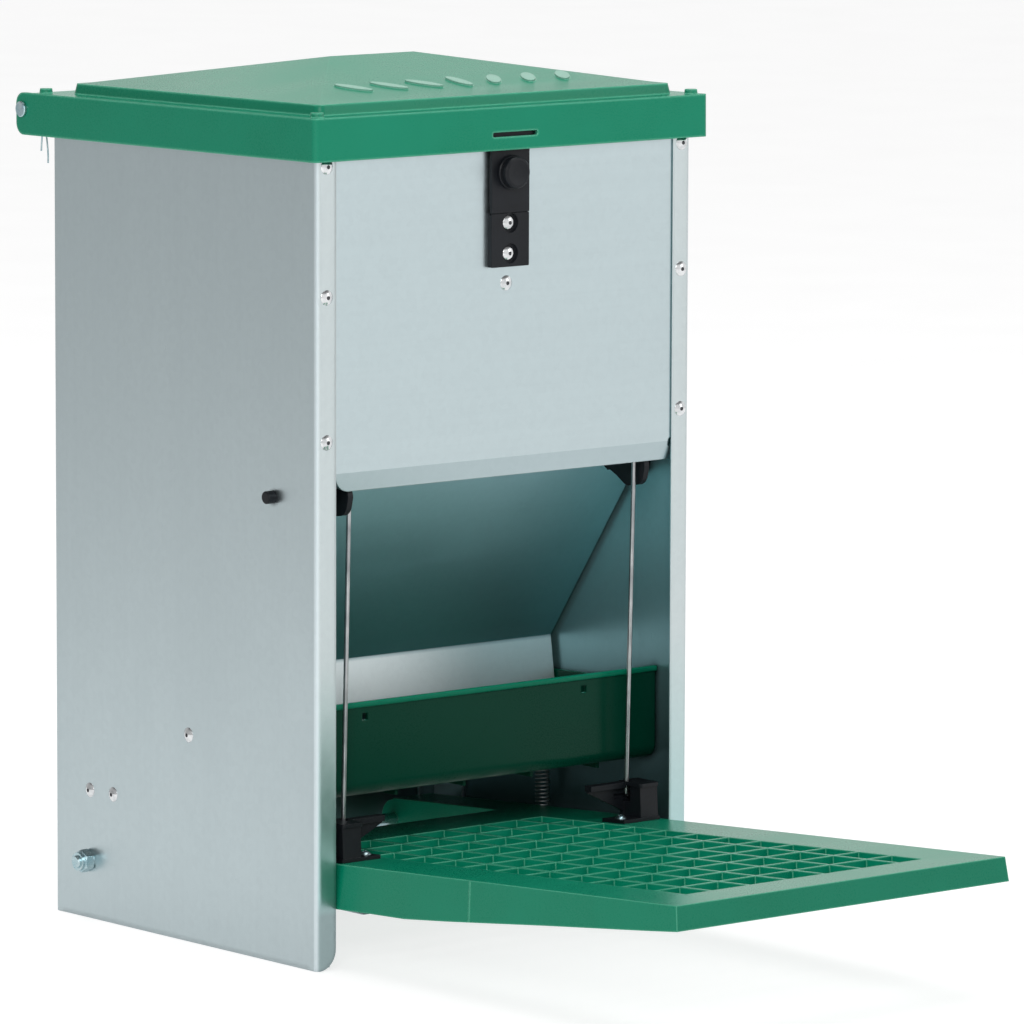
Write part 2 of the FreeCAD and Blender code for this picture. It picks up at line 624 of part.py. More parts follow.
def make_treadle():
    additions = treadle_grid()
    # rear cross wall of the platform
    additions.append(box(-TREADLE_HALF + 1, TREADLE_HALF - 1, PLATFORM_REAR_Y - 3.0,
                         PLATFORM_REAR_Y, TOP_Z - 22, TOP_Z - 1))
    for side in SIDES:
        additions += treadle_arm(side)
    # cross ribs under the side borders
    for y_in_place in (-430.0, -360.0, -300.0, -240.0, -180.0, -110.0, -40.0):
        y = to_level(y_in_place, 60)[0]
        additions += [side_box(side, GRID_HALF + 1, TREADLE_HALF - 1.5, y - 1.0, y + 1.0,
                               TOP_Z - 10, TOP_Z - 1) for side in SIDES]
    additions += [skirt_ridge(side) for side in SIDES]
    treadle = treadle_shell().fuse(additions)
    treadle = treadle.cut(cyl((-180, *AXLE), X_AXIS, AXLE_R + RUN, 360))
    treadle = rotate_x(treadle, AXLE_Y, AXLE_Z, -TREADLE_TILT)
    screw_holes = [cyl((s * SCREW_X, SCREW_Y, 50), Z_AXIS, SCREW_R, 30) for s in SIDES]
    return cut(treadle, screw_holes).removeSplitter()


# ---------------------------------------------------------------- rod brackets on the treadle
def rod_bracket_left():
    """Foot on the treadle, hollow upright block with a cap, finger and web towards the middle."""
    def seat(y, lift=0.0):
        return (y, treadle_top(y) + 0.02 + lift)

    foot = prism_x([seat(-134.0), seat(-112.8), seat(-112.8, 2.4), seat(-134.0, 2.4)],
                   -129.0, -99.0)
    block = prism_x([seat(-133.6), seat(-113.0), (-113.0, 88.0), (-132.4, 88.0)],
                    -128.0, -113.6)
    hollow = prism_x([seat(-131.6, -1), seat(-115.0, -1), (-115.0, 83.0), (-131.0, 83.0)],
                     -126.0, -115.6)
    cap = round_prism(rect(-128.6, -134.0, -112.6, -112.8), [2.0, 2.0, 0.5, 0.5],
                      'z', 87.0, 89.4)
    finger = prism_x(rect(-119.5, 85.2, -113.2, 88.9), -113.6, -84.0)
    web = prism_x([seat(-117.0), seat(-114.5), (-114.5, 86.0), (-117.0, 86.0)], -113.7, -84.0)
    web = web.cut(prism_y([(-83.0, 84.6), (-83.0, 55.0), (-113.0, 55.0), (-113.0, 70.0)],
                          -130.0, -110.0))
    # slot for the wire to drop in from above, cross bore for its bent end, screw hole
    y, z = ROD_LOW
    slot_half = ROD_R + 0.35
    return cut(fuse([foot, block, cap, finger, web]), [
        hollow,
        box(-ROD_X - slot_half, -ROD_X + slot_half, y - 5.6, y + 2.2, 76.5, 95),
        cyl((-130, y, z), X_AXIS, ROD_R + RUN, 25),
        cyl((-SCREW_X, SCREW_Y, 50), Z_AXIS, SCREW_R, 30)])


def bracket_screw(side):
    """Domed screw with a cross recess."""
    x, y, z = side * SCREW_X, SCREW_Y, treadle_top(SCREW_Y) + 2.42 + 0.25
    length = 11.0
    head = dome((x, y, z), Z_AXIS, 4.0, 2.2, 0)
    recess = box(x - 1.8, x + 1.8, y - 0.45, y + 0.45, z + 1.2, z + 3.2).fuse(
        box(x - 0.45, x + 0.45, y - 1.8, y + 1.8, z + 1.2, z + 3.2))
    return fuse([head.cut(recess), cyl((x, y, z - length), Z_AXIS, SCREW_R, length)])


rod_bracket = rod_bracket_left()
save("rod_bracket_left", rod_bracket)
save("rod_bracket_right", mirror_x(rod_bracket))
save_all("bracket_screws", [bracket_screw(side) for side in SIDES])
save("treadle", make_treadle())


# ---------------------------------------------------------------- link rods
def link_rod_left():
    """Upright wire with both ends bent outwards."""
    bend_r = 3.0
    out = V(-1, 0, 0)
    low, high = V(-ROD_X, *ROD_LOW), V(-ROD_X, *ROD_HIGH)
    up = high - low
    up.normalize()

    def bend_points(corner, along):
        """Bend end on the bent wire end, arc middle, bend end on the upright."""
        centre = corner + (out + along) * bend_r
        middle = centre - (out + along) * (math.sqrt(0.5) * bend_r)
        return corner + out * bend_r, middle, corner + along * bend_r

    low_end = V(-127.4, *ROD_LOW)
    low_out, low_mid, low_up = bend_points(low, up)
    high_out, high_mid, high_down = bend_points(high, up * -1)
    path = Part.Wire([Part.makeLine(low_end, low_out),
                      Part.Arc(low_out, low_mid, low_up).toShape(),
                      Part.makeLine(low_up, high_down),
                      Part.Arc(high_down, high_mid, high_out).toShape(),
                      Part.makeLine(high_out, high + out * 11.0)])
    section = Part.Wire([Part.makeCircle(ROD_R, low_end, V(1, 0, 0))])
    return path.makePipeShell([section], True, False)


link_rod = link_rod_left()
save("link_rod_left", link_rod)
save("link_rod_right", mirror_x(link_rod))

# ---------------------------------------------------------------- feed cover, drawn open
FLAP_LEN = 150.0       # pivot to the bend
FLAP_BAND = 29.0       # short steep band below the bend
BAND_TILT = 8.0        # lean of that band, lower edge forward, degrees
FLAP_HALF = 145.5
FLAP_TOP = -10.0       # upper edge, measured down the cover from the pivot
FLAP_T = 0.8
FACE = FLAP_T / 2      # cover faces either side of its middle plane
FLAP_NORMAL = (0, FLAP_COS, FLAP_SIN)    # across the cover, towards the hopper
FLAP_RIVETS_X = (127.0, 134.5)
FLAP_RIVET_DOWN = -4.0
FLAP_RIVET_R = 1.6
WEB_T = 4.0            # rocker web in front of the cover


def flap_point(down, across):
    """(y, z) at a distance down the cover from the pivot and across it to the hopper."""
    return (PIVOT[0] + down * FLAP_SIN + across * FLAP_COS,
            PIVOT[1] - down * FLAP_COS + across * FLAP_SIN)


def flap_cyl(x, across, radius, length):
    """Cylinder square to the cover on the rivet line."""
    return cyl((x, *flap_point(FLAP_RIVET_DOWN, across)), FLAP_NORMAL, radius, length)


def feed_flap():
    bend_y, bend_z = flap_point(FLAP_LEN, 0)
    mitre = FACE * math.tan(math.radians((FLAP_ANGLE + BAND_TILT) / 2))
    band_sin, band_cos = math.sin(math.radians(BAND_TILT)), math.cos(math.radians(BAND_TILT))
    end_y, end_z = bend_y - FLAP_BAND * band_sin, bend_z - FLAP_BAND * band_cos
    flap = prism_x([flap_point(FLAP_TOP, -FACE), flap_point(FLAP_LEN - mitre, -FACE),
                    (end_y - FACE * band_cos, end_z + FACE * band_sin),
                    (end_y + FACE * band_cos, end_z - FACE * band_sin),
                    flap_point(FLAP_LEN + mitre, FACE), flap_point(FLAP_TOP, FACE)],
                   -FLAP_HALF, FLAP_HALF)
    # notches around the rocker hubs, then rivet holes
    tools = [side_cyl(side, 138.5, PIVOT, 10.0, 8.0) for side in SIDES]
    tools += [flap_cyl(side * x, -6, FLAP_RIVET_R, 12) for side in SIDES for x in FLAP_RIVETS_X]
    return cut(flap, tools).removeSplitter()


def rocker_right():
    """Hub with stub shaft, web along the cover's top edge, arm to the link rod."""
    hub_x, stub_x, stub_end = 140.2, 148.0, 156.2
    hub = side_cyl(1, hub_x, PIVOT, 8.0, 148.4 - hub_x)
    stub = side_cyl(1, stub_x, PIVOT, PIVOT_R, stub_end - stub_x)
    stub = stub.makeFillet(1.0, edges_at_x(stub, stub_end))
    front = -FACE - WEB_T
    web = prism_x([flap_point(FLAP_TOP, -FACE), flap_point(FLAP_TOP, front),
                   flap_point(2.0, front), flap_point(2.0, -FACE)], 117.8, 141.5)
    arm = round_prism([(-92.0, 289.2), (-103.0, 284.0), (-112.0, 278.4), (-127.5, 280.5),
                       (-130.6, 293.0), (-124.6, 305.4), (-98.5, 303.6)],
                      [2, 12, 8, 8, 8, 9, 6], 'x', 117.8, 121.8)
    # keep the arm in front of the cover sheet
    arm = arm.common(prism_x([flap_point(-40, -FACE), flap_point(60, -FACE),
                              (-200, 150), (-200, 400)], 100, 160))
    bridge = prism_x([flap_point(-8.0, front), flap_point(3.0, front),
                      flap_point(3.0, -FACE), flap_point(-8.0, -FACE)], 138.6, 146.0)
    rocker = fuse([fuse([hub, stub, web, arm]), bridge])
    # loose eye for the wire, rivet holes, hollow in the inner hub face
    tools = [cyl((110, *ROD_HIGH), X_AXIS, 2.35, 20)]
    tools += [flap_cyl(x, -8, FLAP_RIVET_R, 14) for x in FLAP_RIVETS_X]
    tools.append(side_cyl(1, 140.0, PIVOT, 5.2, 4.0))
    return cut(rocker, tools)


def flap_rivet(x):
    front = -FACE - WEB_T
    head = dome((x, *flap_point(FLAP_RIVET_DOWN, front)), (0, -FLAP_COS, -FLAP_SIN),
                3.0, 1.2, 0.8)
    return fuse([head, flap_cyl(x, front, FLAP_RIVET_R, WEB_T + FLAP_T),
                 flap_cyl(x, FACE, 2.6, 1.2)])


rocker = rocker_right()
save("feed_flap", feed_flap())
save("rocker_right", rocker)
save("rocker_left", mirror_x(rocker))
save_all("flap_rivets", [flap_rivet(side * x) for side in SIDES for x in FLAP_RIVETS_X])

# ---------------------------------------------------------------- return springs
COIL_R, SPRING_WIRE_R = 4.2, 0.7
COIL_LOW_Z, COIL_HIGH_Z, COIL_TURNS = 50.0, 83.0, 13
HOOK_R = 3.0


def return_spring(x):
    """Upright extension spring, drawn stretched, with a ring hook at each end."""
    y, wire_r = SPRING_Y, SPRING_WIRE_R
    height = COIL_HIGH_Z - COIL_LOW_Z
    helix = Part.makeHelix(height / COIL_TURNS, height, COIL_R)
    section = Part.Wire([Part.makeCircle(wire_r, V(COIL_R, 0, 0), V(0, 1, 0))])
    spring = Part.Wire(helix.Edges).makePipeShell([section], True, True)
    spring.translate(V(x, y, COIL_LOW_Z))
    for hook_z, coil_z, up in ((SPRING_LOW_Z, COIL_LOW_Z, -1), (SPRING_HIGH_Z, COIL_HIGH_Z, 1)):
        ring_z = hook_z - up * HOOK_R
        leg_z0, leg_z1 = sorted((ring_z - up * HOOK_R, coil_z))
        for piece in (Part.makeSphere(0.95, V(x + COIL_R, y, coil_z)),
                      cyl((x, y, coil_z), X_AXIS, wire_r, COIL_R),
                      Part.makeSphere(wire_r * 1.02, V(x, y, coil_z)),
                      cyl((x, y, leg_z0), Z_AXIS, wire_r, leg_z1 - leg_z0),
                      Part.makeTorus(HOOK_R, wire_r, V(x, y, ring_z), V(0, 1, 0))):
            spring = spring.fuse(piece)
    return spring


save_all("return_springs", [return_spring(side * SPRING_X) for side in SIDES])

# ---------------------------------------------------------------- lid and latch positions
LID_HALF = HALF_WIDTH + 7.95
LID_FRONT_Y = -(HALF_DEPTH + 7.7)
LID_Z = 500.65                     # lower edge of the skirt
LID_SKIRT = 26.9
LID_T = 2.6
LID_DECK_REAR = 148.0
LID_EAR_REAR = 163.3
LEDGE_Z = LID_Z + LID_SKIRT
PANEL_RIM_Z = LEDGE_Z + 6.7        # rim of the raised panel
RIDGE_RISE = 18.6                  # ridge above that rim
RIDGE_HALF, RIDGE_Y = 33.6, -1.3
LID_TILT = 0.55                    # lean to the rear, degrees
# raised panel at its rim
ROOF_HALF = LID_HALF - 16.4
ROOF_FRONT_Y, ROOF_REAR_Y = LID_FRONT_Y + 16.9, LID_EAR_REAR - 39.6

LATCH_HALF = 15.0
LATCH_T = 4.0
LATCH_FRONT_Y = PANEL_OUT_Y - LATCH_T
LATCH_HINGE_Y = LATCH_FRONT_Y + 1.5
LATCH_HINGE_Z = 461.0
KNUCKLE_R = 0.9
COUNTERBORE = 1.8                  # depth of the recesses for the rivet heads
TONGUE_Y0 = LATCH_FRONT_Y - 0.2
TONGUE_Y1 = TONGUE_Y0 + 2.2
BUTTON_Z = 486.4
BUTTON_BORE_R = 5.0


# ---------------------------------------------------------------- latch on the front panel
def latch_base():
    """Plate riveted to the front panel, with a hinge socket along its top edge."""
    half, hinge_y, z = LATCH_HALF, LATCH_HINGE_Y, LATCH_HINGE_Z
    y0, y1 = LATCH_FRONT_Y, PANEL_OUT_Y
    plate = round_prism(rect(-half, 427.5, half, z - 1.5), [0.8, 0.8, 0.5, 0.5], 'y', y0, y1)
    plate = plate.fuse(round_prism(rect(y0, z - 3.0, y1, z + 1.6), [0, 0, 0.5, 0.5],
                                   'x', -half, half))
    tools = []
    for rivet_z in LATCH_RIVETS_Z:
        start = (0, y0 - 1, rivet_z)
        tools.append(cyl(start, Y_AXIS, RIVET_R, LATCH_T + 2))
        tools.append(cyl(start, Y_AXIS, 6.2, 1.0 + COUNTERBORE))
    tools.append(cyl((-20, hinge_y, z), X_AXIS, KNUCKLE_R + RUN, 40))
    tools.append(box(-20, 20, y0 - 1, hinge_y - 0.2, z - 0.1, z + 3))
    tools.append(box(-20, 20, y0 - 1, y1 + 0.01, z + 0.75, z + 3))
    tools.append(box(-20, 20, hinge_y - 1.0, hinge_y + 0.95, z, z + 3))
    return cut(plate, tools).removeSplitter()


def latch_tongue():
    """Hinged plate with edge ribs and a catch nose for the slot in the lid."""
    half, hinge_y, z = LATCH_HALF, LATCH_HINGE_Y, LATCH_HINGE_Z
    y0, y1 = TONGUE_Y0, TONGUE_Y1
    in_half = half - 0.5
    plate = round_prism(rect(-half, z + 0.25, half, 515.5), [0.3, 0.3, 2.0, 2.0], 'y', y0, y1)
    knuckle = cyl((-in_half, hinge_y, z), X_AXIS, KNUCKLE_R, 2 * in_half)
    neck = box(-in_half, in_half, hinge_y - 0.55, hinge_y + 0.55, z, z + 2.4)
    # the nose stops just inside the lid's skirt
    nose = round_prism(rect(-17.0, 508.9, 17.0, 511.9), [0.8] * 4,
                       'y', LID_FRONT_Y + LID_T + 0.3, y1)
    ribs = [side_box(side, half - 1.6, half, y0, y1 + 0.6, z + 4, 496) for side in SIDES]
    tongue = fuse([plate, knuckle, neck, nose] + ribs)
    return tongue.cut(cyl((0, y0 - 5, BUTTON_Z), Y_AXIS, BUTTON_BORE_R, 12))


def latch_button():
    """Turned button: plug in the tongue, ringed base and domed cap."""
    y = TONGUE_Y0
    # (radius, y) from the plug's rear centre round to the cap's front centre
    profile = [(0, TONGUE_Y1), (BUTTON_BORE_R, TONGUE_Y1), (BUTTON_BORE_R, y), (10.7, y),
               (10.7, y - 1.6), (10.1, y - 2.2), (9.2, y - 2.2), (9.2, y - 3.0), (9.9, y - 3.6),
               (9.9, y - 6.4), (9.2, y - 7.3), (8.0, y - 7.6), (7.0, y - 7.4), (4.0, y - 7.0),
               (0, y - 6.9)]
    outline = Part.makePolygon([V(r, py, BUTTON_Z) for r, py in profile + [profile[0]]])
    return face_outwards(Part.Face(outline).revolve(V(0, 0, BUTTON_Z), V(0, 1, 0), 360))


save("latch_base", latch_base())
save_all("latch_rivets", [rivet((0, LATCH_FRONT_Y + COUNTERBORE, z), (0, -1, 0),
                                LATCH_T - COUNTERBORE + SHEET) for z in LATCH_RIVETS_Z])
save("latch_tongue", latch_tongue())
save("latch_button", latch_button())


# ---------------------------------------------------------------- lid
def frustum(sections, radius):
    """Ruled loft between rounded rectangles given as (half width, y0, y1, z)."""
    wires = []
    for half, y0, y1, z in sections:
        wire = round_wire(rect(-half, y0, half, y1), [radius] * 4)
        wire.translate(V(0, 0, z))
        wires.append(wire)
    return Part.makeLoft(wires, True, True)


def hip_roof(half, y0, y1, z, height):
    """Four slopes rising from a rectangle to the ridge line."""
    a, b, c, d = [V(x, y, z) for x, y in rect(-half, y0, half, y1)]
    left, right = [V(side * RIDGE_HALF, RIDGE_Y, z + height) for side in SIDES]
    loops = ([a, b, right, left], [b, c, right], [c, d, left, right], [d, a, left],
             [a, d, c, b])
    faces = [Part.Face(Part.makePolygon(loop + [loop[0]])) for loop in loops]
    return face_outwards(Part.Solid(Part.Shell(faces)))


def lid_skin(inset):
    """Solid bounded by the lid's outer skin (inset 0) or inner skin (inset = wall)."""
    drop = 5 if inset else 0       # the inner solid runs out below the skirt
    corner_r = 3.2 - inset
    outline = round_wire(rect(-LID_HALF + inset, LID_FRONT_Y + inset,
                              LID_HALF - inset, LID_DECK_REAR - inset),
                         [corner_r, corner_r, 0.8, 0.8])
    skirt = Part.Face(outline).extrude(V(0, 0, LID_SKIRT - inset + drop))
    skirt.translate(V(0, 0, LID_Z - drop))
    half, y0, y1 = ROOF_HALF - inset, ROOF_FRONT_Y + inset, ROOF_REAR_Y - inset
    # the raised panel's foot spreads past its rim; the front and rear of it
    # and its sides are set by the same spread
    spread = 1.6
    raised = frustum([(half + spread, y0 - spread, y1 + spread, LEDGE_Z - inset - 2.0),
                      (half, y0, y1, PANEL_RIM_Z - inset)], 5.0 - inset)
    roof = hip_roof(half - 1.0, y0 + 1.0, y1 - 1.0, PANEL_RIM_Z - inset - 0.4,
                    RIDGE_RISE + 0.4)
    return skirt.fuse([raised, roof])


def lid_fittings():
    """Hinge ears with boss rings, corner lugs on the ledge, pads under the deck."""
    fittings = []
    for side in SIDES:
        x0, x1 = sorted((side * (LID_HALF - LID_T), side * LID_HALF))
        fittings.append(round_prism(rect(LID_DECK_REAR - 20, LID_Z, LID_EAR_REAR, LEDGE_Z),
                                    [0, 7.5, 7.5, 0], 'x', x0, x1))
        fittings.append(side_cyl(side, LID_HALF - LID_T - 1.6, (HINGE_Y, HINGE_Z + 0.1),
                                 6.5, 1.6))
    for x, y in ((-150.2, 141.6), (150.2, 141.6), (-150.2, -135.6), (150.2, -135.6)):
        fittings.append(Part.makeCone(4.35, 3.9, 3.2, V(x, y, LEDGE_Z - 0.2), V(0, 0, 1)))
    skirt_y = LID_FRONT_Y + LID_T
    for x in (-100, 100):
        fittings.append(box(x - 1.2, x + 1.2, skirt_y - 0.2, skirt_y + 14,
                            BODY_TOP + 0.15, LEDGE_Z - LID_T + 0.3))
    return fittings


def lid_grains():
    """Row of seven raised ellipses on the front slope of the roof."""
    foot_y = ROOF_FRONT_Y + 1.0
    slope = math.atan2(RIDGE_RISE, RIDGE_Y - foot_y)
    normal = V(0, -math.sin(slope), math.cos(slope))
    pitch, y = 28, -88.0
    z = PANEL_RIM_Z + (y - foot_y) * math.tan(slope)
    grains = []
    for i in range(-3, 4):
        ellipse = Part.Ellipse(V(0, 0, 0), 12.5, 4.6).toShape()
        grain = Part.Face(Part.Wire([ellipse])).extrude(V(0, 0, 1.5))
        lean = (i > 0) - (i < 0)
        grain.rotate(V(0, 0, 0), V(0, 0, 1), 90 - 34 * lean)
        grain.rotate(V(0, 0, 0), V(1, 0, 0), math.degrees(slope))
        grain.translate(V(pitch * i, y, z) - normal * 0.7)
        grains.append(grain)
    return grains


def make_lid():
    lid = lid_skin(0).cut(lid_skin(LID_T)).removeSplitter()
    # rear: the deck ends in a shallow lip
    inner_x = LID_HALF - LID_T
    y0, y1, z0 = LID_DECK_REAR - 8, LID_DECK_REAR + 1, LID_Z - 6
    lid = lid.cut(box(-inner_x, inner_x, y0, y1, z0, LID_Z + 11))
    lid = cut(lid, [side_box(s, 147.0, 152.0, y0, y1, z0, LID_Z + 23.6) for s in SIDES])
    lid = lid.fuse(lid_fittings())
    # catch slot in the front skirt
    lid = lid.cut(round_prism(rect(-18.0, 509.0, 18.0, 511.9), [1.0] * 4,
                              'y', LID_FRONT_Y - 2, LID_FRONT_Y + LID_T + 1))
    lid = lid.fuse(lid_grains()).removeSplitter()
    lid = rotate_x(lid, LID_FRONT_Y, LID_Z, -LID_TILT)
    # hinge holes are bored square to the cabinet, after the tilt
    return cut(lid, [side_cyl(s, LID_HALF - 8, HINGE, HINGE_R + RUN, 12) for s in SIDES])


save("lid", make_lid())

# ---------------------------------------------------------------- lid hinge
PIN_IN_X = 137.6           # inner end of the hinge pin
PIN_HEAD_X = LID_HALF + 0.1
PIN_HEAD_T = 2.0
SPLIT_PIN_X = 141.0
HINGE_SPACER_X = 142.6
SPLIT_WIRE_R = 0.55


def hinge_pin(side):
    """Headed pin, cross-drilled near its inner end."""
    shank = side_cyl(side, PIN_IN_X, HINGE, HINGE_R, PIN_HEAD_X - PIN_IN_X)
    head = side_cyl(side, PIN_HEAD_X, HINGE, 5.0, PIN_HEAD_T)
    head = head.makeChamfer(0.5, edges_at_x(head, side * (PIN_HEAD_X + PIN_HEAD_T)))
    return fuse([shank, head]).cut(
        cyl((side * SPLIT_PIN_X, HINGE_Y, HINGE_Z - 6), Z_AXIS, 1.2, 12))


def hinge_spacer(side):
    return side_cyl(side, HINGE_SPACER_X, HINGE, 5.6, SIDE_IN_X - HINGE_SPACER_X).cut(
        side_cyl(side, 135.0, HINGE, HINGE_R, 20))


def split_pin(side):
    """Eye above the hinge pin, two slightly spread legs of unequal length below."""
    legs = []
    for way, leg_drop, spread in ((-1, 35.0, 3.6), (1, 27.8, 2.4)):
        leg = SPLIT_WIRE_R + 0.03
        # (offset in y, height) from the hinge axis, eye to tip
        stations = [(0.02, 6.6), (1.75, 5.1), (leg + 0.1, 3.2), (leg, 1.0), (leg, -5.0),
                    (leg + spread * 0.30, -13.0), (leg + spread, -leg_drop)]
        points = [V(side * SPLIT_PIN_X, HINGE_Y + way * dy, HINGE_Z + dz)
                  for dy, dz in stations]
        curve = Part.BSplineCurve()
        curve.interpolate(points)
        section = Part.Wire([Part.makeCircle(SPLIT_WIRE_R, points[0], curve.tangent(0)[0])])
        legs.append(Part.Wire([curve.toShape()]).makePipeShell([section], True, False))
    return legs[0].fuse(legs[1])


save_all("hinge_pins", [hinge_pin(side) for side in SIDES])
save_all("hinge_spacers", [hinge_spacer(side) for side in SIDES])
save_all("split_pins", [split_pin(side) for side in SIDES])
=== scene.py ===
"""Looks for a treadle-operated feeder: galvanised panels, green lid, trough and treadle.

Metres, +Z up. The front faces -Y and the right side is +X. Each CAD piece gets a smooth-shaded
copy with a procedural material; then come the floor, world, lights and camera.
"""
import bpy
import bmesh
import json
import math
from mathutils import Matrix, Vector


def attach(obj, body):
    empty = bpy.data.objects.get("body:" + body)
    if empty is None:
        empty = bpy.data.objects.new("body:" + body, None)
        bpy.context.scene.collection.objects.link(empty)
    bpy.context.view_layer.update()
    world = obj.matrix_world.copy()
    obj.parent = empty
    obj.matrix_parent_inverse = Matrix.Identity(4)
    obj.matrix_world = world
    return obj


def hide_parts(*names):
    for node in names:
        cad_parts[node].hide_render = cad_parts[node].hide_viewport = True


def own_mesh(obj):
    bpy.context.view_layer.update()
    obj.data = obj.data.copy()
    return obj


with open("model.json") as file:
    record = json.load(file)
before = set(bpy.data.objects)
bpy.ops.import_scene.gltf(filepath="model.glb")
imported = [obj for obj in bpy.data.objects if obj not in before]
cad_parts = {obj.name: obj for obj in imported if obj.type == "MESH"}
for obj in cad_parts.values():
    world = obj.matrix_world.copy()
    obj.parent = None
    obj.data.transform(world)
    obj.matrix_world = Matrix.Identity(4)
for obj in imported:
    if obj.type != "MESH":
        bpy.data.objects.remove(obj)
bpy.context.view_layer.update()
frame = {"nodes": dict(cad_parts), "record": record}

NODES = frame["nodes"]
BODY = {node: body
        for body, members in (frame["record"].get("behaviour") or {}).get("bodies", {}).items()
        for node in members}
SLOT = {part["node"]: part["material_slot"] for part in frame["record"]["subparts"]}
MATERIALS = {}  # filled by Material, by the name asked for


def srgb(*channels):
    """sRGB 0-255 to linear RGBA."""
    def linear(value):
        value = value / 255.0
        return value / 12.92 if value <= 0.04045 else ((value + 0.055) / 1.055) ** 2.4
    return tuple(linear(channel) for channel in channels) + (1.0,)


# ------------------------------------------------------------------ shader graphs
class Graph:
    """Node tree of a material or world. A value is a socket to link or a constant."""

    def __init__(self, block, output, coordinates):
        block.use_nodes = True
        self.tree = block.node_tree
        self.tree.nodes.clear()
        self.out = self.node(output)
        self.coord = self.node("TexCoord").outputs[coordinates]

    def put(self, socket, value):
        if isinstance(value, bpy.types.NodeSocket):
            self.tree.links.new(value, socket)
        else:
            socket.default_value = value

    def fill(self, node, **inputs):
        """Set inputs by name, with _ for a space; None leaves an input alone."""
        for name, value in inputs.items():
            if value is not None:
                self.put(node.inputs[name.replace("_", " ")], value)

    def feed(self, node, *values):
        """Set the first inputs in order and return the first output."""
        for socket, value in zip(node.inputs, values):
            self.put(socket, value)
        return node.outputs[0]

    def node(self, kind, operation=None, **inputs):
        node = self.tree.nodes.new("ShaderNode" + kind)
        if operation:
            node.operation = operation
        self.fill(node, **inputs)
        return node

    def math(self, operation, a, b=0.0):
        return self.feed(self.node("Math", operation), a, b)

    def add(self, a, b):
        return self.math("ADD", a, b)

    def times(self, a, b):
        return self.math("MULTIPLY", a, b)

    def dot(self, a, b):
        node = self.node("VectorMath", "DOT_PRODUCT")
        self.feed(node, a, b)
        return node.outputs["Value"]

    def ramp(self, value, over=(0.3, 0.7), to=(0.0, 1.0)):
        """Map the range over onto the range to, clamped."""
        node = self.node("MapRange", Value=value, From_Min=over[0], From_Max=over[1],
                         To_Min=to[0], To_Max=to[1])
        return node.outputs["Result"]

    def mix_shaders(self, factor, a, b):
        """Blend two shaders into the output's surface."""
        mixed = self.feed(self.node("MixShader"), factor, a, b)
        self.put(self.out.inputs["Surface"], mixed)


class Material(Graph):
    """Principled material textured in object coordinates."""

    def __init__(self, name):
        self.block = bpy.data.materials.new(name)
        super().__init__(self.block, "OutputMaterial", "Object")
        self.principled = self.node("BsdfPrincipled")
        self.put(self.out.inputs["Surface"], self.principled.outputs["BSDF"])
        MATERIALS[name] = self.block

    def set(self, **inputs):
        self.fill(self.principled, **inputs)

    def stretched(self, scale):
        return self.node("Mapping", Scale=scale, Vector=self.coord).outputs["Vector"]

    def noise(self, scale, detail=3.0, rough=0.5, vector=None):
        node = self.node("TexNoise", Scale=scale, Detail=detail, Roughness=rough,
                         Vector=vector or self.coord)
        return node.outputs["Fac"]

    def split(self, vector=None):
        """X, Y and Z of a vector, by default of the object coordinates."""
        node = self.node("SeparateXYZ")
        self.feed(node, vector or self.coord)
        return node.outputs

    def cells(self, scale):
        """Three random values for each Voronoi cell."""
        return self.split(self.node("TexVoronoi", Scale=scale, Vector=self.coord).outputs["Color"])

    def mix(self, factor, a, b, mode="MIX"):
        node = self.node("Mix")
        node.data_type = "RGBA"
        node.blend_type = mode
        for index, value in ((0, factor), (6, a), (7, b)):
            self.put(node.inputs[index], value)
        return node.outputs[2]

    def scaled(self, color, by):
        return self.mix(1.0, color, by, "MULTIPLY")

    def grey(self, value):
        return self.feed(self.node("CombineXYZ"), value, value, value)

    def true_normal(self):
        return self.node("NewGeometry").outputs["True Normal"]

    def occlusion(self, distance):
        node = self.node("AmbientOcclusion", Distance=distance)
        node.samples = 4
        return node.outputs["AO"]

    def bump(self, height, strength, distance, normal=None):
        node = self.node("Bump", Strength=strength, Distance=distance, Height=height,
                         Normal=normal)
        return node.outputs["Normal"]

    def bevel(self, radius):
        node = self.node("Bevel", Radius=radius)
        node.samples = 4
        return node.outputs["Normal"]

    def edge_mask(self, bevel_normal):
        """1 on rounded edges, 0 on flats."""
        alike = self.dot(bevel_normal, self.true_normal())
        return self.ramp(alike, over=(0.80, 0.995), to=(1.0, 0.0))


# ------------------------------------------------------------------ galvanised sheet
# Each tint paints light or shade into the colour; it takes the material, its colour so far and the
# X, Y, Z of the face normal.
SQUARE_ON = (0.6, 0.95)  # normal component over which a face counts as square to an axis


def flange_painted_light(m, base, normal):
    """Painted highlight along the front fold; faces square to Y repainted, with a painted green
    reflection of the treadle lower down, darker towards the foot.
    """
    x, y, z = m.split()
    # painted highlight along the rounded fold at the front
    fold_highlight = m.times(m.ramp(m.math("ABSOLUTE", x), over=(0.1480, 0.1486)),
                     m.ramp(y, over=(-0.1326, -0.1316), to=(1.0, 0.0)))
    base = m.mix(fold_highlight, base, srgb(216, 228, 232))
    # faces square to Y: painted green reflection of the treadle lower down, darker towards the
    # foot
    square = m.ramp(m.math("ABSOLUTE", normal[1]), over=SQUARE_ON)
    flange_green_reflection = m.ramp(z, over=(0.03, 0.19), to=(1.0, 0.0))
    color = m.mix(flange_green_reflection, srgb(205, 215, 216), srgb(171, 207, 206))
    foot = m.ramp(z, over=(0.034, 0.046), to=(1.0, 0.0))
    color = m.mix(foot, color, srgb(159, 177, 179))
    return m.mix(square, base, color)


